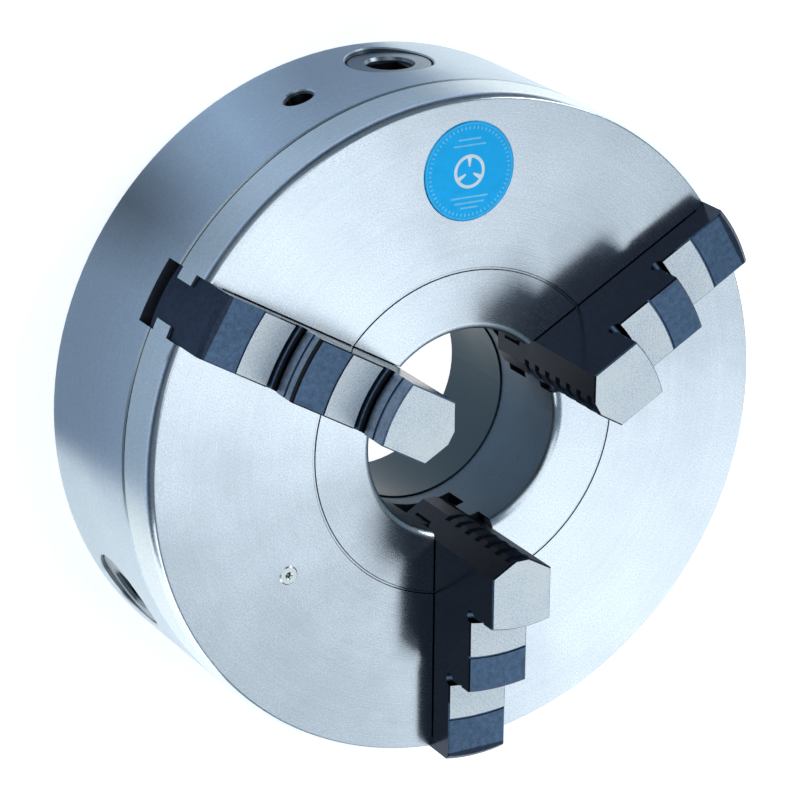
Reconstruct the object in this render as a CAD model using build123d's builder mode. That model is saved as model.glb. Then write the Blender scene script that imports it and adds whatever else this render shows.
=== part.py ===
"""Three-jaw self-centring lathe chuck, nominal size 250 mm, all lengths in millimetres.

The origin is the centre of the rear face, and +Z runs along the spindle axis out of the
front face. The jaws stand at 30, 150 and 270 degrees, with the pinions midway between them.
"""

import os
from math import acos, cos, pi, radians, sin, tan

from build123d import *

os.makedirs("parts", exist_ok=True)

# Cutting tools run this far past the surface that they open, and tapers stay just under 45 degrees
CUT_OVER = 1.0
CUT_TAPER = 44.9
TOUCH = 0.01  # two heights closer than this are the same

# Body
BODY_R = 125.0
BODY_H = 84.0
BORE_R = 38.6
BORE_EDGE_RADIUS = 3.0
RIM_RADIUS = 5.5
REAR_CHAMFER = 2.0
BAND_GROOVE_Z = 61.0
BAND_GROOVE_W = 2.2
BAND_GROOVE_DEPTH = 1.0
SCRIBED_R = 61.6
SCRIBED_W = 1.2
SCRIBED_DEPTH = 0.4
CAVITY_R = 92.5
CAVITY_TOP = 58.5
HUB_R = 52.0
HUB_END_Z = 45.0
REGISTER_R = 100.0
REGISTER_DEPTH = 5.5
REGISTER_CHAMFER = 0.8
COVER_BORE_R = 98.0
COVER_SEAT_Z = 19.0

# Jaw slots: full width above and below the rails, narrow between them
JAW_AZIMUTHS = (30.0, 150.0, 270.0)
SLOT_HALF = 12.1
RAIL_HALF = 7.75
RAIL_LOW = 63.5
RAIL_HIGH = 74.0
SLOT_FLOOR = 52.5
SLOT_CHAMFER = 0.3

# Jaws, in the open position of the rest pose; x is measured out from the spindle axis
JAW_HALF = 12.0
JAW_NECK_HALF = 7.7
JAW_GUIDE_GAP = 0.06
JAW_BASE_Z = 59.0
NOSE_X = 34.2
NOSE_TIP_HALF = 2.7
NOSE_ANGLE = 60.0
JAW_END_X = 123.2
JAW_END_ARC = 62.0
RISERS = ((89.9, 76.0), (59.2, 50.0))  # outer corner x and arc radius, lower riser first
TREADS = (95.9, 110.1, 125.7)  # heights of the three treads
TREAD_LINE_X = (106.8, 76.2)  # the line between the two finishes of a tread
TREAD_FOOT_MARGIN = 2.0  # edges this near a riser's foot aren't chamfered
TREAD_LINE_W = 0.9
TREAD_LINE_DEPTH = 0.5
JAW_CHAMFER = 0.5
JAW_END_CHAMFER = 1.6
RELIEF_R = 2.5
RELIEF_SHIFT = (0.7, 0.3)
SERRATION_PITCH = 7.1
SERRATION_W = 3.0
SERRATION_DEPTH = 1.1
RISER_GROOVE_W = 1.4
RISER_GROOVE_DEPTH = 0.6
RISER_GROOVE_RISE = 1.0  # above the middle of its riser

# Scroll: spiral thread in front, ring gear behind
SCROLL_PITCH = 10.0
SCROLL_BORE_R = 52.05
SCROLL_R = 92.2
SCROLL_BACK_Z = 37.0
SCROLL_FACE_Z = 52.8
RIDGE_TOP_Z = 58.2
RIDGE_W = 4.7
RIDGE_START_R = 56.0
RIDGE_ARCS = 27
RIDGE_ARC_STEP = 45.0
RING_TOOTH_EMBED = 0.6  # how far the ring's teeth and web sink past the tooth root
TOOTH_W = 4.7
TOOTH_LOW_Z = 53.1
TOOTH_INNER_ARC = 95.0
TOOTH_OUTER_ARC = 50.0
TOOTH_HALF = 11.8
TOOTH_SPAN = (44.0, 120.0)

# Bevel gearing: the pitch cones meet on the spindle axis at the pinions' height
PINION_AZIMUTHS = (90.0, 210.0, 330.0)
PINION_Z = 26.0
PINION_TEETH = 11
RING_TEETH = 78
PRESSURE_ANGLE = radians(25.0)
GEAR_INNER_R = 74.0
GEAR_OUTER_R = 92.0
WEB_SETBACK = 0.8  # the ring's web ends this far inside its teeth
RING_ADDENDUM = 0.8
RING_DEDENDUM = 1.15
PINION_ADDENDUM = 0.85
PINION_DEDENDUM = 1.1
BACKLASH = 0.025  # of the circular pitch, taken off each flank of both gears

# Pinions
PINION_BORE_R = 16.0
PINION_BORE_MOUTH = 1.6  # chamfer where the bore opens in the rim
PINION_HEAD_CHAMFER = 0.8
PINION_SHANK_R = 15.95
PINION_HEAD_X = 123.4
PINION_SHOULDER_X = 93.0
PINION_JOURNAL_R = 7.0
PINION_JOURNAL_X = 61.0
KEY_SQUARE = 12.1
KEY_MOUTH_R = 9.4
KEY_MOUTH_DEPTH = 1.5
KEY_MOUTH_TAPER = 30.0
KEY_DEPTH = 19.5
RETAINER_X = 106.0
RETAINER_GROOVE_W = 6.3
RETAINER_GROOVE_R = 13.2

# Rear cover
COVER_R = 97.95
COVER_HUB_BORE_R = 38.0
COVER_HUB_CHAMFER = 0.3
COVER_BACK_Z = 5.6
COVER_RING_R = 72.5
COVER_RING_TOP = 36.7
COVER_POCKET_R = 16.3
COVER_JOURNAL_BORE_R = 7.05
COVER_JOURNAL_BORE_X = 60.0
COVER_BORE_CHAMFER = 3.0
COVER_SCREWS = 6
COVER_SCREW_PCR = 46.5
COVER_SCREW_R = 2.5
COVER_SCREW_CLEARANCE_R = 2.75
COVER_SCREW_HEAD_R = 4.25
COVER_SCREW_HEAD_H = 5.0
COVER_SCREW_SINK_R = 4.75
COVER_SCREW_SEAT_Z = 11.0
COVER_SCREW_TIP_Z = 60.0
COVER_SCREW_SOCKET = 4.0
COVER_SCREW_CHAMFER = 0.5

# Threaded holes, at their drilled size
MOUNT_PCR = 112.0
MOUNT_HOLE_R = 5.1
MOUNT_HOLE_DEPTH = 22.0
MOUNT_HOLE_CHAMFER = 1.2
LIFT_AZIMUTH = 109.3
LIFT_Z = 33.8
LIFT_HOLE_R = 5.1
LIFT_SINK_R = 6.4
LIFT_DEPTH = 20.0
RETAINER_R = 4.0
RETAINER_POINT_R = 2.75
RETAINER_BASE_Z = 1.0
RETAINER_SHOULDER_Z = 9.0
RETAINER_TIP_Z = 12.4
RETAINER_SOCKET = 4.0

# Grease nipple and disc on the face
NIPPLE_AZIMUTH = 210.0
NIPPLE_X = 83.0
NIPPLE_R = 3.6
NIPPLE_TOP_Z = 84.5
NIPPLE_LOW_Z = 75.5
NIPPLE_FLOOR_T = 1.0
NIPPLE_BORE_R = 1.5
NIPPLE_MOUTH_R = 0.95
NIPPLE_EDGE = 0.5
NIPPLE_MOUTH_END_Z = 83.5
NIPPLE_SEAT_END_Z = 82.6
BALL_R = 1.45
BALL_Z = 82.2
GREASE_HOLE_R = 1.2
SPRING_WIRE_R = 0.16
SPRING_R = 1.0
SPRING_TOP_Z = 80.88
SPRING_TURNS = 5
SPRING_GAP = 0.02  # under the spring's lowest turn
DISC_AZIMUTH = 90.0
DISC_X = 98.2
DISC_R = 18.2
DISC_T = 0.9
DISC_SINK = 0.5
DISC_GAP = 0.1
DISC_CHAMFER = 0.25


def radial_plane(azimuth, distance, height):
    """A plane that faces out from the spindle axis: x is tangential, y is up the axis."""
    out = (cos(radians(azimuth)), sin(radians(azimuth)), 0)
    tangent = (-out[1], out[0], 0)
    return Plane(origin=(distance * out[0], distance * out[1], height), x_dir=tangent, z_dir=out)


def jaw_plane(azimuth, height=0.0):
    """A level plane whose x runs out along a jaw."""
    out = (cos(radians(azimuth)), sin(radians(azimuth)), 0)
    return Plane(origin=(0, 0, height), x_dir=out, z_dir=(0, 0, 1))


def arc_centre_x(corner_x, arc_r, half=JAW_HALF):
    """Where the centre of a convex end arc lies, from the x of its corners."""
    return corner_x - (arc_r**2 - half**2) ** 0.5


def end_points(corner_x, arc_r, half):
    """The two corners and the middle of a jaw's convex end."""
    middle = arc_centre_x(corner_x, arc_r) + arc_r
    corner = arc_centre_x(corner_x, arc_r) + (arc_r**2 - half**2) ** 0.5
    return (corner, half), (middle, 0), (corner, -half)


def nose_points(half):
    """The V nose of a jaw, from one side to the other."""
    corner_x = NOSE_X + (half - NOSE_TIP_HALF) / tan(radians(NOSE_ANGLE))
    return [(corner_x, -half), (NOSE_X, -NOSE_TIP_HALF), (NOSE_X, NOSE_TIP_HALF), (corner_x, half)]


def spiral_point(angle, shift):
    """A point of the scroll's ridge, shifted out from its centre line."""
    r = RIDGE_START_R + SCROLL_PITCH * angle / 360.0 + shift
    return (r * cos(radians(angle)), r * sin(radians(angle)))


def pitch_z(distance):
    """Height of the ring gear's pitch cone at a distance from the spindle axis."""
    return PINION_Z + distance * PINION_TEETH / RING_TEETH


def involute(angle):
    """The involute function of a pressure angle."""
    return tan(angle) - angle


def pinion_outline(distance):
    """The pinion's toothed section at a distance from the spindle axis, as a closed outline."""
    module = 2.0 * distance / RING_TEETH
    pitch_r = module * PINION_TEETH / 2.0
    base_r = pitch_r * cos(PRESSURE_ANGLE)
    tip_r = pitch_r + PINION_ADDENDUM * module
    root_r = pitch_r - PINION_DEDENDUM * module
    half_tooth = pi / (2.0 * PINION_TEETH) - BACKLASH * 2.0 * pi / PINION_TEETH
    flank = [(root_r, half_tooth + involute(PRESSURE_ANGLE))]
    for share in (0.0, 0.3, 0.65, 1.0):
        r = base_r + share * (tip_r - base_r)
        flank.append((r, half_tooth + involute(PRESSURE_ANGLE) - involute(acos(base_r / r))))
    points = []
    for tooth in range(PINION_TEETH):
        middle = pi / 2.0 + (tooth + 0.5) * 2.0 * pi / PINION_TEETH
        for r, turn in flank:
            points.append((r * cos(middle - turn), r * sin(middle - turn)))
        for r, turn in reversed(flank):
            points.append((r * cos(middle + turn), r * sin(middle + turn)))
    return points


def ring_tooth_outline(distance):
    """A ring gear tooth's straight-sided section, with x tangential and y up the axis."""
    module = 2.0 * distance / RING_TEETH
    half = pi * module * (0.25 - BACKLASH)
    tip = RING_ADDENDUM * module
    root = RING_DEDENDUM * module + RING_TOOTH_EMBED
    tip_half = half - tip * tan(PRESSURE_ANGLE)
    root_half = half + root * tan(PRESSURE_ANGLE)
    low = pitch_z(distance) - PINION_Z - tip
    high = pitch_z(distance) - PINION_Z + root
    return [(-tip_half, low), (tip_half, low), (root_half, high), (-root_half, high)]


def make_body():
    """The body: front plate with jaw slots, outer wall, and the front half of the hub."""
    with BuildPart() as body:
        with BuildSketch(Plane.XZ):
            with BuildLine():
                Polyline(
                    (BODY_R, BODY_H - RIM_RADIUS),
                    (BODY_R, BAND_GROOVE_Z + BAND_GROOVE_W / 2),
                    (BODY_R - BAND_GROOVE_DEPTH, BAND_GROOVE_Z),
                    (BODY_R, BAND_GROOVE_Z - BAND_GROOVE_W / 2),
                    (BODY_R, REAR_CHAMFER),
                    (BODY_R - REAR_CHAMFER, 0),
                    (REGISTER_R + REGISTER_CHAMFER, 0),
                    (REGISTER_R, REGISTER_CHAMFER),
                    (REGISTER_R, REGISTER_DEPTH),
                    (COVER_BORE_R, REGISTER_DEPTH),
                    (COVER_BORE_R, COVER_SEAT_Z),
                    (CAVITY_R, COVER_SEAT_Z),
                    (CAVITY_R, CAVITY_TOP),
                    (HUB_R, CAVITY_TOP),
                    (HUB_R, HUB_END_Z),
                    (BORE_R, HUB_END_Z),
                    (BORE_R, BODY_H - BORE_EDGE_RADIUS),
                )
                RadiusArc(
                    (BORE_R, BODY_H - BORE_EDGE_RADIUS),
                    (BORE_R + BORE_EDGE_RADIUS, BODY_H),
                    BORE_EDGE_RADIUS,
                )
                Line((BORE_R + BORE_EDGE_RADIUS, BODY_H), (BODY_R - RIM_RADIUS, BODY_H))
                RadiusArc((BODY_R - RIM_RADIUS, BODY_H), (BODY_R, BODY_H - RIM_RADIUS), RIM_RADIUS)
            make_face()
        revolve(axis=Axis.Z)

        # Shallow circle turned in the face
        with BuildSketch(Plane.XY.offset(BODY_H - SCRIBED_DEPTH)):
            Circle(SCRIBED_R + SCRIBED_W / 2)
            Circle(SCRIBED_R - SCRIBED_W / 2, mode=Mode.SUBTRACT)
        extrude(amount=SCRIBED_DEPTH, mode=Mode.SUBTRACT)

        for azimuth in JAW_AZIMUTHS:
            with BuildSketch(radial_plane(azimuth, 20.0, 0.0)):
                with BuildLine():
                    Polyline(
                        (-SLOT_HALF, SLOT_FLOOR),
                        (SLOT_HALF, SLOT_FLOOR),
                        (SLOT_HALF, RAIL_LOW),
                        (RAIL_HALF, RAIL_LOW),
                        (RAIL_HALF, RAIL_HIGH),
                        (SLOT_HALF, RAIL_HIGH),
                        (SLOT_HALF, BODY_H - SLOT_CHAMFER),
                        (SLOT_HALF + 2 * SLOT_CHAMFER, BODY_H + SLOT_CHAMFER),
                        (-SLOT_HALF - 2 * SLOT_CHAMFER, BODY_H + SLOT_CHAMFER),
                        (-SLOT_HALF, BODY_H - SLOT_CHAMFER),
                        (-SLOT_HALF, RAIL_HIGH),
                        (-RAIL_HALF, RAIL_HIGH),
                        (-RAIL_HALF, RAIL_LOW),
                        (-SLOT_HALF, RAIL_LOW),
                        close=True,
                    )
                make_face()
            extrude(amount=BODY_R, mode=Mode.SUBTRACT)

        for azimuth in PINION_AZIMUTHS:
            with BuildSketch(radial_plane(azimuth, SCROLL_BORE_R, PINION_Z)):
                Circle(PINION_BORE_R)
            extrude(amount=BODY_R, mode=Mode.SUBTRACT)
            with BuildSketch(radial_plane(azimuth, BODY_R + CUT_OVER, PINION_Z)):
                Circle(PINION_BORE_R + PINION_BORE_MOUTH + CUT_OVER)
            extrude(amount=-PINION_BORE_MOUTH - CUT_OVER, taper=45, mode=Mode.SUBTRACT)

        # Threaded holes: flange screws, pinion retainers, cover screws
        with BuildSketch(Plane.XY):
            with PolarLocations(MOUNT_PCR, 3, start_angle=JAW_AZIMUTHS[0]):
                Circle(MOUNT_HOLE_R)
        extrude(amount=MOUNT_HOLE_DEPTH, mode=Mode.SUBTRACT)
        with BuildSketch(Plane.XY):
            with PolarLocations(MOUNT_PCR, 3, start_angle=JAW_AZIMUTHS[0]):
                Circle(MOUNT_HOLE_R + MOUNT_HOLE_CHAMFER)
        extrude(amount=MOUNT_HOLE_CHAMFER, taper=CUT_TAPER, mode=Mode.SUBTRACT)
        with BuildSketch(Plane.XY):
            with PolarLocations(RETAINER_X, 3, start_angle=PINION_AZIMUTHS[0]):
                Circle(RETAINER_R)
        extrude(amount=PINION_Z, mode=Mode.SUBTRACT)
        with BuildSketch(Plane.XY.offset(HUB_END_Z)):
            with PolarLocations(COVER_SCREW_PCR, COVER_SCREWS):
                Circle(COVER_SCREW_R)
        extrude(amount=COVER_SCREW_TIP_Z + COVER_SCREW_R - HUB_END_Z, mode=Mode.SUBTRACT)

        # Lifting hole in the rim
        with BuildSketch(radial_plane(LIFT_AZIMUTH, BODY_R - LIFT_DEPTH, LIFT_Z)):
            Circle(LIFT_HOLE_R)
        extrude(amount=LIFT_DEPTH + CUT_OVER, mode=Mode.SUBTRACT)
        with BuildSketch(radial_plane(LIFT_AZIMUTH, BODY_R + CUT_OVER, LIFT_Z)):
            Circle(LIFT_SINK_R + CUT_OVER)
        extrude(amount=LIFT_HOLE_R - LIFT_SINK_R - CUT_OVER, taper=45, mode=Mode.SUBTRACT)

        # Seats of the grease nipple and the disc
        with BuildSketch(jaw_plane(NIPPLE_AZIMUTH, NIPPLE_LOW_Z)):
            with Locations((NIPPLE_X, 0)):
                Circle(NIPPLE_R)
        extrude(amount=BODY_H - NIPPLE_LOW_Z, mode=Mode.SUBTRACT)
        with BuildSketch(jaw_plane(NIPPLE_AZIMUTH, CAVITY_TOP)):
            with Locations((NIPPLE_X, 0)):
                Circle(GREASE_HOLE_R)
        extrude(amount=BODY_H - CAVITY_TOP, mode=Mode.SUBTRACT)
        with BuildSketch(jaw_plane(DISC_AZIMUTH, BODY_H - DISC_SINK)):
            with Locations((DISC_X, 0)):
                Circle(DISC_R + DISC_GAP)
        extrude(amount=DISC_SINK, mode=Mode.SUBTRACT)
    return body.part


def make_cover():
    """The rear cover: plate, thrust ring with the pinions' inner bearings, and half the hub."""
    with BuildPart() as cover:
        with BuildSketch(Plane.XZ):
            with BuildLine():
                Polyline(
                    (COVER_HUB_BORE_R + COVER_BORE_CHAMFER, COVER_BACK_Z),
                    (COVER_R, COVER_BACK_Z),
                    (COVER_R, COVER_SEAT_Z),
                    (COVER_RING_R, COVER_SEAT_Z),
                    (COVER_RING_R, COVER_RING_TOP),
                    (HUB_R, COVER_RING_TOP),
                    (HUB_R, HUB_END_Z),
                    (COVER_HUB_BORE_R + COVER_HUB_CHAMFER, HUB_END_Z),
                    (COVER_HUB_BORE_R, HUB_END_Z - COVER_HUB_CHAMFER),
                    (COVER_HUB_BORE_R, COVER_BACK_Z + COVER_BORE_CHAMFER),
                    close=True,
                )
            make_face()
        revolve(axis=Axis.Z)

        for azimuth in PINION_AZIMUTHS:
            with BuildSketch(radial_plane(azimuth, COVER_RING_R, PINION_Z)):
                Circle(COVER_POCKET_R)
            extrude(amount=COVER_R - COVER_RING_R + COVER_POCKET_R, mode=Mode.SUBTRACT)
            with BuildSketch(radial_plane(azimuth, COVER_JOURNAL_BORE_X, PINION_Z)):
                Circle(COVER_JOURNAL_BORE_R)
            extrude(amount=COVER_POCKET_R, mode=Mode.SUBTRACT)

        with BuildSketch(Plane.XY.offset(COVER_BACK_Z)):
            with PolarLocations(COVER_SCREW_PCR, COVER_SCREWS):
                Circle(COVER_SCREW_CLEARANCE_R)
        extrude(amount=BODY_H, mode=Mode.SUBTRACT)
        with BuildSketch(Plane.XY.offset(COVER_BACK_Z)):
            with PolarLocations(COVER_SCREW_PCR, COVER_SCREWS):
                Circle(COVER_SCREW_SINK_R)
        extrude(amount=COVER_SCREW_SEAT_Z - COVER_BACK_Z, mode=Mode.SUBTRACT)
    return cover.part


def make_cover_screws():
    """Socket cap screws that hold the cover to the body's hub."""
    with BuildPart() as screws:
        with BuildSketch(Plane.XY.offset(COVER_SCREW_SEAT_Z - COVER_SCREW_HEAD_H)):
            with PolarLocations(COVER_SCREW_PCR, COVER_SCREWS):
                Circle(COVER_SCREW_HEAD_R)
        extrude(amount=COVER_SCREW_HEAD_H)
        with BuildSketch(Plane.XY.offset(COVER_SCREW_SEAT_Z)):
            with PolarLocations(COVER_SCREW_PCR, COVER_SCREWS):
                Circle(COVER_SCREW_R)
        extrude(amount=COVER_SCREW_TIP_Z - COVER_SCREW_SEAT_Z)
        with BuildSketch(Plane.XY.offset(COVER_SCREW_SEAT_Z - COVER_SCREW_HEAD_H)):
            with PolarLocations(COVER_SCREW_PCR, COVER_SCREWS):
                RegularPolygon(COVER_SCREW_SOCKET / 2, 6, major_radius=False)
        extrude(amount=COVER_SCREW_HEAD_H / 2, mode=Mode.SUBTRACT)
        outer_rims = screws.edges().filter_by(GeomType.CIRCLE).group_by(Axis.Z)[0]
        chamfer(outer_rims, COVER_SCREW_CHAMFER)
    return screws.part


def make_scroll():
    """The scroll ring: spiral thread on the front, straight-sided bevel teeth on the back."""
    root = RING_DEDENDUM * 2.0 / RING_TEETH
    with BuildPart() as tooth:
        with BuildSketch(radial_plane(0.0, GEAR_INNER_R, PINION_Z)):
            Polygon(*ring_tooth_outline(GEAR_INNER_R), align=None)
        with BuildSketch(radial_plane(0.0, GEAR_OUTER_R, PINION_Z)):
            Polygon(*ring_tooth_outline(GEAR_OUTER_R), align=None)
        loft(ruled=True)

    with BuildPart() as scroll:
        with BuildSketch(Plane.XZ):
            with BuildLine():
                Polyline(
                    (SCROLL_BORE_R, SCROLL_BACK_Z),
                    (GEAR_INNER_R - WEB_SETBACK, SCROLL_BACK_Z),
                    (GEAR_INNER_R - WEB_SETBACK, pitch_z(GEAR_INNER_R) + root * GEAR_INNER_R),
                    (SCROLL_R, pitch_z(SCROLL_R) + root * SCROLL_R),
                    (SCROLL_R, SCROLL_FACE_Z),
                    (SCROLL_BORE_R, SCROLL_FACE_Z),
                    close=True,
                )
            make_face()
        revolve(axis=Axis.Z)
        with PolarLocations(0, RING_TEETH, start_angle=180.0 / RING_TEETH):
            add(tooth.part)

        with BuildSketch(Plane.XY.offset(SCROLL_FACE_Z)):
            with BuildLine():
                for side in (-RIDGE_W / 2, RIDGE_W / 2):
                    for arc in range(RIDGE_ARCS):
                        start = arc * RIDGE_ARC_STEP
                        ThreePointArc(
                            spiral_point(start, side),
                            spiral_point(start + RIDGE_ARC_STEP / 2, side),
                            spiral_point(start + RIDGE_ARC_STEP, side),
                        )
                for end in (0.0, RIDGE_ARCS * RIDGE_ARC_STEP):
                    Line(spiral_point(end, -RIDGE_W / 2), spiral_point(end, RIDGE_W / 2))
            make_face()
        extrude(amount=RIDGE_TOP_Z - SCROLL_FACE_Z)
    return scroll.part


def make_pinion(azimuth):
    """One bevel pinion with its inner journal, shank, retaining groove and key socket."""
    with BuildPart() as pinion:
        with BuildSketch(radial_plane(azimuth, PINION_JOURNAL_X, PINION_Z)):
            Circle(PINION_JOURNAL_R)
        extrude(amount=GEAR_INNER_R + CUT_OVER - PINION_JOURNAL_X)
        with BuildSketch(radial_plane(azimuth, GEAR_INNER_R, PINION_Z)):
            Polygon(*pinion_outline(GEAR_INNER_R), align=None)
        with BuildSketch(radial_plane(azimuth, PINION_SHOULDER_X, PINION_Z)):
            Polygon(*pinion_outline(PINION_SHOULDER_X), align=None)
        loft(ruled=True)
        with BuildSketch(radial_plane(azimuth, PINION_SHOULDER_X, PINION_Z)):
            Circle(PINION_SHANK_R)
        extrude(amount=PINION_HEAD_X - PINION_SHOULDER_X)
        chamfer(pinion.faces().sort_by(SortBy.DISTANCE)[-1].edges(), PINION_HEAD_CHAMFER)

        with BuildSketch(radial_plane(azimuth, RETAINER_X - RETAINER_GROOVE_W / 2, PINION_Z)):
            Circle(PINION_SHANK_R + CUT_OVER)
            Circle(RETAINER_GROOVE_R, mode=Mode.SUBTRACT)
        extrude(amount=RETAINER_GROOVE_W, mode=Mode.SUBTRACT)
        with BuildSketch(radial_plane(azimuth, PINION_HEAD_X, PINION_Z)):
            Rectangle(KEY_SQUARE, KEY_SQUARE)
        extrude(amount=-KEY_DEPTH, mode=Mode.SUBTRACT)
        with BuildSketch(radial_plane(azimuth, PINION_HEAD_X, PINION_Z)):
            Circle(KEY_MOUTH_R)
        extrude(amount=-KEY_MOUTH_DEPTH, taper=KEY_MOUTH_TAPER, mode=Mode.SUBTRACT)
    return pinion.part


def make_retaining_screws():
    """Dog-point set screws in the rear face that reach into the pinions' grooves."""
    with BuildPart() as screws:
        with BuildSketch(Plane.XY.offset(RETAINER_BASE_Z)):
            with PolarLocations(RETAINER_X, 3, start_angle=PINION_AZIMUTHS[0]):
                Circle(RETAINER_R)
        extrude(amount=RETAINER_SHOULDER_Z - RETAINER_BASE_Z)
        with BuildSketch(Plane.XY.offset(RETAINER_SHOULDER_Z)):
            with PolarLocations(RETAINER_X, 3, start_angle=PINION_AZIMUTHS[0]):
                Circle(RETAINER_POINT_R)
        extrude(amount=RETAINER_TIP_Z - RETAINER_SHOULDER_Z)
        with BuildSketch(Plane.XY.offset(RETAINER_BASE_Z)):
            with PolarLocations(RETAINER_X, 3, start_angle=PINION_AZIMUTHS[0]):
                RegularPolygon(RETAINER_SOCKET / 2, 6, major_radius=False)
        extrude(amount=RETAINER_SOCKET, mode=Mode.SUBTRACT)
    return screws.part


def riser_axis(azimuth, corner_x, arc_r):
    """The upright axis of a riser's arc, and the plane through it: x runs out, y runs up."""
    level = jaw_plane(azimuth)
    origin = level.from_local_coords((arc_centre_x(corner_x, arc_r), 0, 0))
    return Axis(origin, (0, 0, 1)), Plane(origin=origin, x_dir=level.x_dir, z_dir=-level.y_dir)


def tread_edges(jaw, azimuth, height, inner_x):
    """The edges round a tread, leaving out the foot of the riser behind it."""
    level = jaw.edges().filter_by_position(Axis.Z, height - TOUCH, height + TOUCH)
    clear_of_foot = inner_x + TREAD_FOOT_MARGIN
    return level.filter_by(lambda e: jaw_plane(azimuth).to_local_coords(e @ 0.5).X > clear_of_foot)


def make_jaw(azimuth):
    """One one-piece jaw: guide, scroll teeth, serrated V nose and two risers."""
    ends = ((JAW_END_X, JAW_END_ARC),) + RISERS
    neck_low = RAIL_LOW - JAW_GUIDE_GAP
    neck_high = RAIL_HIGH + JAW_GUIDE_GAP
    levels = [
        (JAW_BASE_Z, neck_low, JAW_HALF, ends[0]),
        (neck_low, neck_high, JAW_NECK_HALF, ends[0]),
        (neck_high, TREADS[0], JAW_HALF, ends[0]),
        (TREADS[0], TREADS[1], JAW_HALF, ends[1]),
        (TREADS[1], TREADS[2], JAW_HALF, ends[2]),
    ]
    with BuildPart() as jaw:
        for low, high, half, (corner_x, arc_r) in levels:
            start, middle, finish = end_points(corner_x, arc_r, half)
            with BuildSketch(jaw_plane(azimuth, low)):
                with BuildLine():
                    Polyline(finish, *nose_points(half), start)
                    ThreePointArc(start, middle, finish)
                make_face()
            extrude(amount=high - low)
        for height, inner_x in zip(TREADS, (RISERS[0][0], RISERS[1][0], 0.0)):
            chamfer(tread_edges(jaw, azimuth, height, inner_x), JAW_CHAMFER)
        axis, section = riser_axis(azimuth, JAW_END_X, JAW_END_ARC)
        with BuildSketch(section):
            with Locations((JAW_END_ARC, TREADS[0])):
                Rectangle(JAW_END_CHAMFER * 2**0.5, JAW_END_CHAMFER * 2**0.5, rotation=45)
        revolve(axis=axis, mode=Mode.SUBTRACT)

        # Scroll teeth, one pitch apart, placed to suit the spiral at this azimuth
        lean = SCROLL_PITCH / (2.0 * pi) / ((RIDGE_START_R + SCROLL_R) / 2.0)
        x = RIDGE_START_R + SCROLL_PITCH * (azimuth / 360.0 - 2.5)
        while x + TOOTH_W / 2 < TOOTH_SPAN[1]:
            x += SCROLL_PITCH
            if not TOOTH_SPAN[0] < x - TOOTH_W / 2 < TOOTH_SPAN[1] - TOOTH_W:
                continue
            with BuildSketch(jaw_plane(azimuth, TOOTH_LOW_Z)):
                with BuildLine():
                    faces = []
                    for shift, arc_r in ((-TOOTH_W / 2, TOOTH_INNER_ARC), (TOOTH_W / 2, TOOTH_OUTER_ARC)):
                        face_x = x + shift
                        sag = TOOTH_HALF**2 / (2 * arc_r)
                        low = (face_x - sag - lean * TOOTH_HALF, -TOOTH_HALF)
                        high = (face_x - sag + lean * TOOTH_HALF, TOOTH_HALF)
                        faces.append(ThreePointArc(low, (face_x, 0), high))
                    Line(faces[0] @ 0, faces[1] @ 0)
                    Line(faces[0] @ 1, faces[1] @ 1)
                make_face()
            extrude(amount=JAW_BASE_Z - TOOTH_LOW_Z)

        # Round relief at the foot of each riser, a groove round the riser, a line on its tread
        for (corner_x, arc_r), foot, top, line_x in zip(RISERS, TREADS, TREADS[1:], TREAD_LINE_X):
            line_r = ((line_x - arc_centre_x(corner_x, arc_r)) ** 2 + JAW_HALF**2) ** 0.5
            axis, section = riser_axis(azimuth, corner_x, arc_r)
            with BuildSketch(section):
                with Locations((arc_r + RELIEF_SHIFT[0], foot + RELIEF_SHIFT[1])):
                    Circle(RELIEF_R)
                with Locations((arc_r, (foot + top) / 2 + RISER_GROOVE_RISE)):
                    Rectangle(2 * RISER_GROOVE_DEPTH, RISER_GROOVE_W)
                with Locations((line_r, foot)):
                    Rectangle(TREAD_LINE_W, 2 * TREAD_LINE_DEPTH)
            revolve(axis=axis, mode=Mode.SUBTRACT)

        # Serrations across the gripping face
        height = TREADS[2] - SERRATION_PITCH / 2
        while height > RAIL_HIGH:
            with BuildSketch(jaw_plane(azimuth, height - SERRATION_W / 2)):
                with Locations((NOSE_X + SERRATION_DEPTH - NOSE_X / 2, 0)):
                    Rectangle(NOSE_X, 2 * (JAW_HALF + CUT_OVER))
            extrude(amount=SERRATION_W, mode=Mode.SUBTRACT)
            height -= SERRATION_PITCH
    return jaw.part


def make_nipple():
    """The flush grease nipple: a pressed-in sleeve whose mouth a ball closes from inside."""
    level = jaw_plane(NIPPLE_AZIMUTH)
    origin = level.from_local_coords((NIPPLE_X, 0, 0))
    with BuildPart() as nipple:
        with BuildSketch(Plane(origin=origin, x_dir=level.x_dir, z_dir=-level.y_dir)):
            with BuildLine():
                Polyline(
                    (GREASE_HOLE_R, NIPPLE_LOW_Z),
                    (NIPPLE_R, NIPPLE_LOW_Z),
                    (NIPPLE_R, NIPPLE_TOP_Z - NIPPLE_EDGE),
                    (NIPPLE_R - NIPPLE_EDGE, NIPPLE_TOP_Z),
                    (NIPPLE_MOUTH_R + NIPPLE_EDGE, NIPPLE_TOP_Z),
                    (NIPPLE_MOUTH_R, NIPPLE_TOP_Z - NIPPLE_EDGE),
                    (NIPPLE_MOUTH_R, NIPPLE_MOUTH_END_Z),
                    (NIPPLE_BORE_R, NIPPLE_SEAT_END_Z),
                    (NIPPLE_BORE_R, NIPPLE_LOW_Z + NIPPLE_FLOOR_T),
                    (SPRING_R - 2 * SPRING_WIRE_R, NIPPLE_LOW_Z + NIPPLE_FLOOR_T),
                    (SPRING_R - 2 * SPRING_WIRE_R, NIPPLE_LOW_Z + NIPPLE_FLOOR_T / 2),
                    close=True,
                )
            make_face()
        revolve(axis=Axis(origin, (0, 0, 1)))
    return nipple.part


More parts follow.
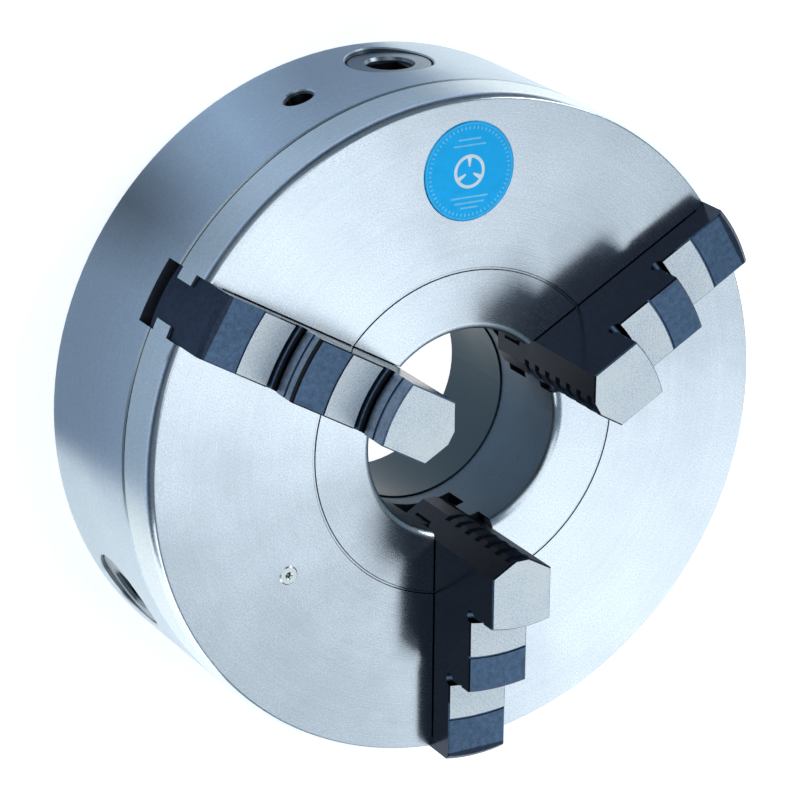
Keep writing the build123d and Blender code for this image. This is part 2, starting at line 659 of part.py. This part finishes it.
def make_nipple_ball():
    """The ball that closes the nipple's mouth."""
    with BuildPart() as ball:
        with Locations(jaw_plane(NIPPLE_AZIMUTH).from_local_coords((NIPPLE_X, 0, BALL_Z))):
            Sphere(BALL_R)
    return ball.part


def make_nipple_spring():
    """The coil spring that holds the ball up."""
    low = NIPPLE_LOW_Z + NIPPLE_FLOOR_T + SPRING_WIRE_R + SPRING_GAP
    centre = jaw_plane(NIPPLE_AZIMUTH).from_local_coords((NIPPLE_X, 0, low))
    with BuildPart() as spring:
        with BuildLine():
            path = Helix((SPRING_TOP_Z - low) / SPRING_TURNS, SPRING_TOP_Z - low, SPRING_R, center=centre)
        with BuildSketch(Plane(origin=path @ 0, z_dir=path % 0)):
            Circle(SPRING_WIRE_R)
        sweep()
    return spring.part


def make_disc():
    """The round name disc, set into the face."""
    with BuildPart() as disc:
        with BuildSketch(jaw_plane(DISC_AZIMUTH, BODY_H - DISC_SINK)):
            with Locations((DISC_X, 0)):
                Circle(DISC_R)
        extrude(amount=DISC_T)
        chamfer(disc.faces().sort_by(Axis.Z)[-1].edges(), DISC_CHAMFER)
    return disc.part


pieces = {
    "chuck_body": make_body(),
    "rear_cover": make_cover(),
    "cover_screws": make_cover_screws(),
    "scroll_ring": make_scroll(),
    "pinion_retaining_screws": make_retaining_screws(),
    "nipple_body": make_nipple(),
    "nipple_ball": make_nipple_ball(),
    "nipple_spring": make_nipple_spring(),
    "name_disc": make_disc(),
}
for number, azimuth in enumerate(PINION_AZIMUTHS, start=1):
    pieces[f"pinion_{number}"] = make_pinion(azimuth)
for number, azimuth in enumerate(JAW_AZIMUTHS, start=1):
    pieces[f"jaw_{number}"] = make_jaw(azimuth)

for label, piece in pieces.items():
    piece.label = label
    export_step(piece, f"parts/{label}.step")
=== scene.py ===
"""Looks for the three-jaw lathe chuck: procedural materials on the CAD nodes, floor, lights, camera."""

from math import cos, radians, sin

import bpy
from mathutils import Matrix, Vector

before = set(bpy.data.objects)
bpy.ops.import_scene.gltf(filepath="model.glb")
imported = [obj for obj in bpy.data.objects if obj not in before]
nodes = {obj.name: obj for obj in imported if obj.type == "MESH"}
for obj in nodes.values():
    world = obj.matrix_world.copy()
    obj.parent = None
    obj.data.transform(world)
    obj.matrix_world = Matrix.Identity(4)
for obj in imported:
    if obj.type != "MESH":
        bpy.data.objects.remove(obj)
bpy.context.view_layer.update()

MM = 0.001

# Sizes that the finishes follow, in metres, as in the CAD
BODY_R = 125.0 * MM
FACE_Z = 84.0 * MM
RIM_RADIUS = 5.5 * MM
BORE_R = 38.6 * MM
BORE_EDGE_RADIUS = 3.0 * MM
BAND_Z = 61.0 * MM
CIRCLE_R = 61.6 * MM
CIRCLE_W = 1.2 * MM
SLOT_FLOOR_Z = 50.0 * MM
HOLES_FROM_Z = 3.0 * MM
PINION_Z = 26.0 * MM
SOCKET_R = 8.7 * MM
SOCKET_MOUTH_X = 122.6 * MM
JAW_AZIMUTHS = {"jaw_1": 30.0, "jaw_2": 150.0, "jaw_3": 270.0}
PINION_AZIMUTHS = {"pinion_1": 90.0, "pinion_2": 210.0, "pinion_3": 330.0}
JAW_NOSE_X = 41.5 * MM
JAW_END_X = 120.5 * MM
TREAD_Z = (95.9 * MM, 110.1 * MM, 125.7 * MM)
TREAD_ARCS = ((14.85 * MM, 92.7 * MM), (10.66 * MM, 66.6 * MM))  # centre x and radius of each tread's line
SCRATCH_CENTRE = (150.0 * MM, -50.0 * MM)
DISC_CENTRE = (0.0, 98.2 * MM)

# Base colours, linear
FACE_STEEL = (0.75, 0.83, 0.90)
REAR_RIM_STEEL = (0.56, 0.655, 0.72)
FRONT_RIM_STEEL = (0.74, 0.82, 0.83)
# Painted shade: the dark line in the band groove
GROOVE_PAINTED_SHADE = (0.05, 0.06, 0.08)
# Painted shade: the bore, darker than the face steel
BORE_PAINTED_SHADE = (0.052, 0.088, 0.130)
# Painted shade: the slot walls, darker than the face steel
SLOT_PAINTED_SHADE = (0.10, 0.12, 0.15)
# Painted shade: inside the pinion bores and the other holes
HOLE_PAINTED_SHADE = (0.09, 0.105, 0.12)
# The scribed circle is darker along its two walls
CIRCLE_WALLS_DARK = (0.05, 0.06, 0.08)
GROUND_TOP = (0.90, 0.99, 1.06)
BLUED_TOP = (0.082, 0.138, 0.225)
# Painted light: the outward-facing riser faces, a lighter copy of the blued steel
BLUED_RISER_PAINTED_LIGHT = (0.24, 0.30, 0.39)
# Painted shade: darker copies of the blued steel at the riser feet, the outer ends, the nose's inner faces and the
# sides
BLUED_FOOT_PAINTED_SHADE = (0.010, 0.012, 0.016)
BLUED_END_PAINTED_SHADE = (0.030, 0.045, 0.075)
BLUED_NOSE_PAINTED_SHADE = (0.007, 0.013, 0.025)
BLUED_SIDE_PAINTED_SHADE = (0.014, 0.021, 0.040)
PINION_STEEL = (0.22, 0.27, 0.31)
# Painted shade: inside the pinions' key sockets
SOCKET_PAINTED_SHADE = (0.03, 0.033, 0.04)
DISC_BLUE = (0.015, 0.50, 1.10)
DISC_PALE = (0.22, 0.66, 0.98)
DISC_WHITE = (0.80, 0.92, 0.98)

# Plain metals: the node, then its material's name, base colour, roughness and streak period, and for
# the pieces turned on the spindle axis, True
PLAIN_METALS = (
    ("rear_cover", "rear_cast_iron", (0.026, 0.050, 0.068), 0.36, 0.6 * MM, True),
    ("cover_screws", "black_screw", (0.035, 0.038, 0.045), 0.36, 0.8 * MM),
    ("pinion_retaining_screws", "black_set_screw", (0.03, 0.033, 0.04), 0.38, 0.8 * MM),
    ("scroll_ring", "scroll_steel", (0.40, 0.43, 0.46), 0.28, 0.4 * MM, True),
    ("nipple_body", "plated_nipple", (0.72, 0.78, 0.78), 0.26, 0.3 * MM),
    ("nipple_ball", "nipple_ball_steel", (0.30, 0.32, 0.34), 0.18, 0.3 * MM),
    ("nipple_spring", "spring_wire", (0.42, 0.42, 0.42), 0.30, 0.3 * MM),
)


class Graph:
    """A material's node tree, with short ways to add nodes to it."""

    def __init__(self, name):
        self.material = bpy.data.materials.new(name)
        self.material.use_nodes = True
        self.tree = self.material.node_tree
        self.tree.nodes.clear()
        output = self.tree.nodes.new("ShaderNodeOutputMaterial")
        self.shader = self.tree.nodes.new("ShaderNodeBsdfPrincipled")
        self.tree.links.new(self.shader.outputs["BSDF"], output.inputs["Surface"])
        coordinates = self.node("TexCoord")
        self.position = coordinates.outputs["Object"]
        self.normal = coordinates.outputs["Normal"]

    def node(self, kind, inputs=None, **settings):
        """Adds a node; inputs are values or sockets, by the socket's name or number."""
        made = self.tree.nodes.new("ShaderNode" + kind)
        for key, value in settings.items():
            setattr(made, key, value)
        for key, value in (inputs or {}).items():
            self.put(made.inputs[key], value)
        return made

    def put(self, socket, value):
        """Links or sets one input socket."""
        if isinstance(value, bpy.types.NodeSocket):
            self.tree.links.new(value, socket)
        else:
            socket.default_value = value

    def set(self, **inputs):
        """Sets the shader's own inputs; underscores stand for spaces."""
        for key, value in inputs.items():
            self.put(self.shader.inputs[key.replace("_", " ")], value)
        return self.material

    def math(self, operation, a, b=0.0):
        return self.node("Math", {0: a, 1: b}, operation=operation).outputs[0]

    def folded(self, operation, values):
        """One operation over some numbers, from the first to the last."""
        result, *others = values
        for value in others:
            result = self.math(operation, result, value)
        return result

    def add(self, *values):
        return self.folded("ADD", values)

    def times(self, *values):
        """The product of some numbers, or the overlap of some masks."""
        return self.folded("MULTIPLY", values)

    def either(self, *masks):
        """The largest of some masks."""
        return self.folded("MAXIMUM", masks)

    def outside(self, mask):
        """1 where a mask is 0."""
        return self.math("SUBTRACT", 1.0, mask)

    def gap(self, a, b):
        """How far apart two numbers are."""
        return self.math("ABSOLUTE", self.math("SUBTRACT", a, b))

    def split(self, vector):
        """The x, y and z of a vector."""
        return self.node("SeparateXYZ", {0: vector}).outputs

    def turned(self, vector, degrees):
        """A vector turned about the z axis."""
        return self.node("VectorRotate", {"Vector": vector, "Angle": radians(degrees)},
                         rotation_type="Z_AXIS").outputs[0]

    def radius(self, x, y):
        return self.math("SQRT", self.add(self.times(x, x), self.times(y, y)))

    def step(self, value, edge, width, falling=False):
        """0 below an edge and 1 above it, or the other way round, with a soft width."""
        low, high = (1.0, 0.0) if falling else (0.0, 1.0)
        return self.node("MapRange", {0: value, 1: edge - width / 2, 2: edge + width / 2, 3: low, 4: high},
                         interpolation_type="SMOOTHSTEP").outputs[0]

    def band(self, value, low, high, width):
        """1 between two edges and 0 outside them."""
        return self.times(self.step(value, low, width), self.step(value, high, width, falling=True))

    def facing(self, component):
        """1 where a normal lies along one axis, in either sense."""
        return self.step(self.math("ABSOLUTE", component), 0.8, 0.2)

    def ranged(self, value, low, high, to_low, to_high):
        """A value carried from one range to another, clamped."""
        return self.node("MapRange", {0: value, 1: low, 2: high, 3: to_low, 4: to_high}).outputs[0]

    def spread(self, noise, to_low, to_high):
        """A noise carried from the range that it mostly keeps to, to another."""
        return self.ranged(noise, 0.3, 0.7, to_low, to_high)

    def noise(self, vector, scale, detail=3.0, roughness=0.5):
        return self.node("TexNoise", {"Vector": vector, "Scale": scale, "Detail": detail,
                                      "Roughness": roughness}).outputs["Fac"]

    def lines(self, value, period, detail=2.0):
        """Streaks that depend on one length only, such as turning marks."""
        return self.node("TexNoise", {"W": value, "Scale": 1.0 / period, "Detail": detail, "Roughness": 0.6},
                         noise_dimensions="1D").outputs["Fac"]

    def mix(self, factor, a, b):
        """A mix of two numbers."""
        return self.node("Mix", {0: factor, 2: a, 3: b}, data_type="FLOAT").outputs[0]

    def blend(self, factor, a, b):
        """A mix of two colours."""
        return self.node("Mix", {0: factor, 6: colour(a), 7: colour(b)}, data_type="RGBA").outputs[2]

    def paint(self, base, *coats):
        """A colour with others laid over it in turn, each where its mask is 1."""
        for mask, coat in coats:
            base = self.blend(mask, base, coat)
        return base

    def tint(self, base, amount):
        """A colour made lighter or darker by a number near 1."""
        grey = self.node("CombineXYZ", {0: amount, 1: amount, 2: amount}).outputs[0]
        return self.node("VectorMath", {0: base, 1: grey}, operation="MULTIPLY").outputs[0]

    def bump(self, height, distance, strength, normal=None):
        inputs = {"Height": height, "Distance": distance, "Strength": strength}
        if normal is not None:
            inputs["Normal"] = normal
        return self.node("Bump", inputs).outputs[0]


def colour(value):
    """A colour socket as it is, or three numbers with an alpha added."""
    if isinstance(value, bpy.types.NodeSocket):
        return value
    return (*value, 1.0)


def body_material():
    """Turned face with a fine concentric finish, ground rim, painted shade in the bore, slots, holes and band
    groove, and a scribed circle darker along its walls.
    """
    g = Graph("turned_steel")
    x, y, z = g.split(g.position)
    r = g.radius(x, y)
    flat = g.facing(g.split(g.normal)[2])

    # Masks
    front = g.step(z, FACE_Z - RIM_RADIUS, 0.3 * MM)
    rim = g.times(g.step(r, BODY_R - 1.4 * MM, 0.1 * MM), g.outside(flat), g.outside(front))
    bore = g.times(g.step(r, BORE_R + 0.5 * MM, 0.2 * MM, falling=True),
                   g.step(z, FACE_Z - BORE_EDGE_RADIUS * 0.6, BORE_EDGE_RADIUS, falling=True))
    roundings = g.either(g.step(r, BODY_R - RIM_RADIUS, 0.3 * MM),
                         g.step(r, BORE_R + BORE_EDGE_RADIUS, 0.3 * MM, falling=True))
    face = g.either(g.times(g.step(z, FACE_Z - 0.6 * MM, 0.1 * MM), flat), g.times(front, roundings))
    slot = g.times(g.outside(face), g.outside(rim), g.outside(bore), g.step(z, SLOT_FLOOR_Z, 0.5 * MM))
    holes = g.times(g.step(r, BODY_R - 0.5 * MM, 0.3 * MM, falling=True),
                    g.band(z, HOLES_FROM_Z, SLOT_FLOOR_Z, 0.5 * MM), g.step(r, BORE_R + 1.0 * MM, 0.2 * MM))
    from_circle = g.gap(r, CIRCLE_R)
    circle = g.times(g.step(from_circle, CIRCLE_W * 0.25, 0.2 * MM),
                     g.step(from_circle, CIRCLE_W * 0.55, 0.1 * MM, falling=True),
                     g.band(z, FACE_Z - 0.6 * MM, FACE_Z - 0.05 * MM, 0.05 * MM))
    groove = g.band(z, BAND_Z - 0.5 * MM, BAND_Z + 0.7 * MM, 0.2 * MM)
    front_band = g.step(z, BAND_Z, 0.2 * MM)
    front_edge = g.times(g.step(r, BODY_R - 1.7 * MM, 0.3 * MM), front)

    # Turning marks, and a grain that breaks them up
    along = g.mix(flat, z, r)
    fine = g.lines(along, 0.30 * MM)
    wide = g.lines(along, 2.6 * MM, detail=3.0)
    smudge = g.noise(g.position, 38.0, detail=4.0, roughness=0.6)
    grain = g.noise(g.position, 1500.0, detail=2.0)

    shade = g.add(g.spread(fine, 0.975, 1.015), g.spread(wide, -0.015, 0.015), g.spread(grain, -0.10, 0.09))
    rim_steel = g.blend(front_band, REAR_RIM_STEEL, FRONT_RIM_STEEL)
    # Painted shade in the band groove, bore, slots and holes; the scribed circle darker along its walls
    base = g.paint(FACE_STEEL, (rim, rim_steel), (groove, GROOVE_PAINTED_SHADE), (bore, BORE_PAINTED_SHADE), (slot, SLOT_PAINTED_SHADE),
                   (holes, HOLE_PAINTED_SHADE), (circle, CIRCLE_WALLS_DARK))

    rough = g.mix(front_edge, g.mix(rim, 0.25, 0.28), 0.20)
    rough = g.mix(slot, g.mix(bore, rough, 0.30), 0.34)
    rough = g.add(rough, g.spread(fine, -0.02, 0.03), g.ranged(smudge, 0.35, 0.7, -0.015, 0.045))

    # The upper part of the rounded front edge shades as the flat face does
    flattened = g.times(g.step(r, BODY_R - 1.7 * MM, 0.8 * MM, falling=True),
                        g.step(z, FACE_Z - 2.5 * MM, 0.5 * MM), g.step(r, BODY_R - 2 * RIM_RADIUS, 1.0 * MM))
    surface = g.node("NewGeometry").outputs["Normal"]
    surface = g.node("Mix", {0: flattened, 4: surface, 5: (0.0, 0.0, 1.0)}, data_type="VECTOR").outputs[1]
    surface = g.node("VectorMath", {0: surface}, operation="NORMALIZE").outputs[0]
    marks = g.bump(g.add(fine, g.times(wide, 0.2)), 0.002 * MM, 0.30, surface)
    grains = g.bump(grain, 0.005 * MM, 0.6, marks)
    tangent = g.node("Tangent", direction_type="RADIAL", axis="Z").outputs[0]
    return g.set(Base_Color=g.tint(base, shade), Metallic=1.0, Roughness=rough, Anisotropic=0.80,
                 Anisotropic_Rotation=0.25, Tangent=tangent, Normal=grains)


def machined_material(name, base, roughness, line_period, on_spindle=False):
    """Plain machined metal with streaks round the spindle axis, or across the z axis."""
    g = Graph(name)
    x, y, z = g.split(g.position)
    along = g.mix(g.facing(g.split(g.normal)[2]), z, g.radius(x, y)) if on_spindle else z
    streak = g.lines(along, line_period)
    grain = g.noise(g.position, 900.0, roughness=0.6)
    cloud = g.noise(g.position, 60.0, detail=4.0)
    shade = g.add(g.spread(streak, 0.90, 1.06), g.spread(grain, -0.06, 0.06), g.spread(cloud, -0.05, 0.05))
    rough = g.add(g.spread(streak, roughness - 0.04, roughness + 0.04), g.spread(cloud, -0.03, 0.05))
    normal = g.bump(g.add(streak, g.times(grain, 0.7)), 0.006 * MM, 0.5)
    return g.set(Base_Color=g.tint(base, shade), Metallic=1.0, Roughness=rough, Normal=normal)


def jaw_material(name, azimuth):
    """Blued hardened steel, with the inner part of each tread and the nose top ground bright, painted light on the
    risers and painted shade on the feet, ends, nose and sides.
    """
    g = Graph("blued_steel_" + name)
    local = g.turned(g.position, -azimuth)
    x, y, z = g.split(local)
    out, across, normal_z = g.split(g.turned(g.normal, -azimuth))
    up = g.step(normal_z, 0.9, 0.06)

    # Masks of the ground areas
    tops = [g.step(z, TREAD_Z[2] - 0.1 * MM, 0.05 * MM)]
    for height, (centre_x, line_r) in zip(TREAD_Z, TREAD_ARCS):
        from_centre = g.radius(g.math("SUBTRACT", x, centre_x), y)
        tops.append(g.times(g.step(from_centre, line_r, 0.05 * MM, falling=True),
                            g.band(z, height - 0.1 * MM, height + 0.1 * MM, 0.05 * MM)))
    bright = g.times(g.either(*tops), up)

    # Masks of the blued areas with painted light (the risers) or painted shade (the feet, ends, nose and sides)
    side = g.facing(across)
    end = g.step(x, JAW_END_X, 0.5 * MM)
    nose = g.times(g.step(x, JAW_NOSE_X, 0.5 * MM, falling=True), g.step(out, -0.2, 0.2, falling=True))
    riser = g.times(g.step(out, 0.9, 0.06), g.step(z, TREAD_Z[0] + 2.6 * MM, 0.4 * MM))
    at_feet = [g.band(z, height - 2.3 * MM, height + 2.7 * MM, 0.2 * MM) for height in TREAD_Z[:2]]
    feet = g.times(g.either(*at_feet), g.outside(up), g.outside(side), g.band(x, 50.0 * MM, 100.0 * MM, 1.0 * MM))

    # Grain and long fine grinding scratches on the bright areas, mottled oxide on the blued ones
    centre_x, centre_y = SCRATCH_CENTRE
    arc = g.radius(g.math("SUBTRACT", x, centre_x), g.math("SUBTRACT", y, centre_y))
    scratch = g.lines(arc, 0.35 * MM, detail=3.0)
    mottle = g.noise(local, 520.0, roughness=0.65)
    speck = g.noise(local, 1900.0, detail=2.0, roughness=0.6)
    cloud = g.noise(local, 70.0)
    shade = g.add(g.spread(scratch, 0.88, 1.06), g.spread(cloud, -0.14, 0.06), g.spread(speck, -0.20, 0.20))
    ground = g.tint(GROUND_TOP, shade)
    dark = g.add(g.spread(mottle, 0.80, 1.20), g.spread(speck, -0.20, 0.22))
    # Painted light on the risers, painted shade on the feet, ends, nose and sides
    blue = g.paint(BLUED_TOP, (riser, BLUED_RISER_PAINTED_LIGHT), (feet, BLUED_FOOT_PAINTED_SHADE), (end, BLUED_END_PAINTED_SHADE), (nose, BLUED_NOSE_PAINTED_SHADE),
                   (side, BLUED_SIDE_PAINTED_SHADE))
    base = g.blend(bright, g.tint(blue, dark), ground)

    rough = g.add(g.mix(bright, g.mix(side, 0.34, 0.16), 0.46), g.spread(cloud, -0.02, 0.05))
    height = g.mix(bright, g.times(speck, 0.5), g.add(speck, g.times(scratch, 0.4)))
    return g.set(Base_Color=base, Metallic=g.mix(bright, 1.0, 0.8), Roughness=rough,
                 Normal=g.bump(height, 0.004 * MM, 0.5))


def pinion_material(name, azimuth):
    """Hardened steel, with turning marks round the pinion's own axis and painted shade in the key socket."""
    g = Graph("hardened_steel_" + name)
    along, across, z = g.split(g.turned(g.position, -azimuth))
    r = g.radius(across, g.math("SUBTRACT", z, PINION_Z))
    ends = g.facing(g.split(g.turned(g.normal, -azimuth))[0])
    streak = g.lines(g.mix(ends, along, r), 0.4 * MM)
    grain = g.noise(g.position, 1100.0, roughness=0.6)
    # Painted shade inside the key socket
    socket = g.times(g.step(r, SOCKET_R, 0.2 * MM, falling=True),
                     g.step(along, SOCKET_MOUTH_X, 0.4 * MM, falling=True))
    shade = g.add(g.spread(streak, 0.90, 1.07), g.spread(grain, -0.07, 0.07))
    base = g.blend(socket, PINION_STEEL, SOCKET_PAINTED_SHADE)
    rough = g.add(g.mix(socket, 0.30, 0.5), g.spread(streak, -0.04, 0.05))
    normal = g.bump(g.add(streak, g.times(grain, 0.5)), 0.006 * MM, 0.5)
    return g.set(Base_Color=g.tint(base, shade), Metallic=1.0, Roughness=rough, Normal=normal)


def disc_material():
    """Blue printed foil with a ring of ticks, a three-jaw pictogram and plain bars."""
    g = Graph("blue_disc")
    x, y, _ = g.split(g.position)
    x = g.math("SUBTRACT", x, DISC_CENTRE[0])
    y = g.math("SUBTRACT", y, DISC_CENTRE[1])
    r = g.radius(x, y)
    angle = g.math("ARCTAN2", y, x)
    edge_width = 0.12 * MM

    def ring(inner_r, outer_r):
        """1 between two radii, in mm."""
        return g.band(r, inner_r * MM, outer_r * MM, edge_width)

    def sectors(count, share, offset=0.0):
        """1 inside each of some equal sectors."""
        turns = g.math("FRACT", g.add(g.times(angle, count / radians(360.0)), offset + 0.5))
        return g.step(g.gap(turns, 0.5), share / 2, 0.03, falling=True)

    def bar(centre_y, half_width):
        """1 inside a plain horizontal bar, in mm."""
        return g.times(g.step(g.gap(y, centre_y * MM), 0.32 * MM, edge_width, falling=True),
                       g.step(g.math("ABSOLUTE", x), half_width * MM, edge_width, falling=True))

    # Pictogram: an open ring with three blocks that point at its centre, in white
    blocks = g.times(ring(1.8, 5.2), sectors(3, 0.16, offset=0.25))
    white = g.either(ring(5.0, 6.2), blocks)

    # Border, ticks and bars, in pale blue
    ticks = g.times(ring(15.4, 16.5), sectors(60, 0.28))
    bars = [bar(*sizes) for sizes in ((11.8, 4.5), (9.6, 6.5), (-9.4, 7.5), (-11.4, 6.0), (-13.2, 3.5))]
    pale = g.either(ring(17.25, 17.4), ticks, *bars)

    sheen = g.noise(g.position, 420.0)
    base = g.paint(g.tint(DISC_BLUE, g.spread(sheen, 0.95, 1.05)), (pale, DISC_PALE), (white, DISC_WHITE))
    normal = g.bump(g.add(white, pale), 0.02 * MM, 0.4)
    return g.set(Base_Color=base, Metallic=0.8, Roughness=g.spread(sheen, 0.30, 0.42), Normal=normal)


def dress(node, material):
    """Puts one material on a CAD node."""
    nodes[node].data.materials.clear()
    nodes[node].data.materials.append(material)


dress("chuck_body", body_material())
for node, *finish in PLAIN_METALS:
    dress(node, machined_material(*finish))
dress("name_disc", disc_material())
for node, azimuth in JAW_AZIMUTHS.items():
    dress(node, jaw_material(node, azimuth))
for node, azimuth in PINION_AZIMUTHS.items():
    dress(node, pinion_material(node, azimuth))


def floor_material():
    """A pale floor that glows near white, less so close to the chuck, and fully inside its bore."""
    g = Graph("pale_floor")
    x, y, _ = g.split(g.position)
    r = g.radius(x, y)
    tone = g.tint((0.80, 0.81, 0.82), g.spread(g.noise(g.position, 3.0), 0.985, 1.015))
    glow = g.either(g.ranged(r, 118.0 * MM, 190.0 * MM, 0.62, 0.86), g.step(r, 70.0 * MM, 30.0 * MM, falling=True))
    return g.set(Base_Color=tone, Roughness=0.8, Emission_Color=(0.97, 0.985, 1.0, 1.0), Emission_Strength=glow)


# The card's two straight edges: the azimuth that each faces, and its distance from the spindle axis
CARD_EDGES = ((135.0, 82.0 * MM), (123.0, 102.4 * MM))


def shadow_card_material():
    """A glowing grey card, painted shade for the reflections, with two soft straight edges, a patch of painted
    light and one of painted shade, and a dark far part.
    """
    g = Graph("reflected_shadow_card")
    x, y, _ = g.split(g.position)
    r = g.radius(x, y)
    sides = [g.step(g.split(g.turned(g.position, -azimuth))[0], distance, 14.0 * MM)
             for azimuth, distance in CARD_EDGES]
    cover = g.times(g.either(*sides), g.step(r, BODY_R, 2.0 * MM))

    def patch(azimuth, half_width, amount):
        """An amount of light towards an azimuth, which fades out to both sides."""
        along, across, _ = g.split(g.turned(g.position, -azimuth))
        turn = g.math("ABSOLUTE", g.math("ARCTAN2", across, along))
        return g.times(g.ranged(turn, 0.0, radians(half_width), 1.0, 0.0), amount)

    # Painted light and painted shade on the card: it glows more towards azimuth 117 and less towards 140
    near = g.add(0.46, patch(117.0, 17.0, 0.30), patch(140.0, 14.0, -0.28))
    tone = g.mix(g.step(r, 168.0 * MM, 12.0 * MM), near, 0.82)
    tone = g.times(tone, g.ranged(r, 200.0 * MM, 300.0 * MM, 1.0, 0.06))
    return g.set(Base_Color=(0.0, 0.0, 0.0, 1.0), Roughness=1.0, Specular_IOR_Level=0.0, Alpha=cover,
                 Emission_Color=(0.605, 0.76, 1.0, 1.0), Emission_Strength=tone)


def stage_sheet(name, radius, z, material):
    """A large round sheet that lies under the chuck and isn't part of it."""
    bpy.ops.mesh.primitive_circle_add(vertices=96, radius=radius, fill_type="NGON", location=(0.0, 0.0, z))
    sheet = bpy.context.object
    sheet.name = name
    sheet.data.materials.append(material)
    return sheet


stage_sheet("floor", 9.0, -0.2 * MM, floor_material())

# Grey card on the floor, on the camera's side of the chuck, which only the metal's reflections see: a glowing
# sheet that paints a shaded floor into those reflections
card = stage_sheet("reflected_shadow_card", 8.9, -0.1 * MM, shadow_card_material())
card.visible_camera = False
card.visible_diffuse = False
card.visible_shadow = False
card.visible_transmission = False


def softbox(name, azimuth, elevation, distance, size, power):
    """A rectangular area light that looks at the chuck from a direction in degrees."""
    light = bpy.data.lights.new(name, "AREA")
    light.shape = "RECTANGLE"
    light.size, light.size_y = size
    light.energy = power
    light.color = (0.96, 0.98, 1.0)
    lamp = bpy.data.objects.new(name, light)
    bpy.context.scene.collection.objects.link(lamp)
    a, e = radians(azimuth), radians(elevation)
    away = Vector((cos(a) * cos(e), sin(a) * cos(e), sin(e)))
    lamp.location = Vector((0.0, 0.0, 80.0 * MM)) + away * distance
    lamp.rotation_mode = "QUATERNION"
    lamp.rotation_quaternion = away.to_track_quat("Z", "Y")


softbox("mirror", -37.0, 55.0, 1.7, (0.62, 1.6), 3.2)
softbox("low", -51.0, 33.0, 2.4, (1.0, 1.0), 1.3)
softbox("camera side", 143.0, 50.0, 2.0, (2.4, 1.7), 10.5)
softbox("overhead", 143.0, 86.0, 1.9, (0.9, 1.1), 2.6)
softbox("fill", 39.0, 25.0, 2.4, (1.0, 0.8), 12.0)
softbox("edge", 231.0, 11.0, 2.4, (1.8, 0.9), 9.0)

world = bpy.data.worlds.new("studio")
bpy.context.scene.world = world
world.use_nodes = True
background = world.node_tree.nodes["Background"]
background.inputs["Color"].default_value = (0.62, 0.82, 1.0, 1.0)
background.inputs["Strength"].default_value = 0.21

# Camera: looks down at the chuck from beside the second jaw, rolled to one side
CAMERA_AT = Vector((-0.6120, 0.4616, 1.1228))
CAMERA_AIM = Vector((0.45978, -0.34929, -0.81645)).normalized()
CAMERA_UP = Vector((0.16381, 0.93698, -0.30861)).normalized()
camera_data = bpy.data.cameras.new("camera")
camera_data.sensor_width = 36.0
camera_data.lens = 161.1
camera = bpy.data.objects.new("camera", camera_data)
bpy.context.scene.collection.objects.link(camera)
right = CAMERA_AIM.cross(CAMERA_UP).normalized()
turn = Matrix((right, CAMERA_UP, -CAMERA_AIM)).transposed()
camera.matrix_world = Matrix.Translation(CAMERA_AT) @ turn.to_4x4()
bpy.context.scene.camera = camera

bpy.context.scene.view_settings.view_transform = "Standard"

bpy.context.view_layer.update()
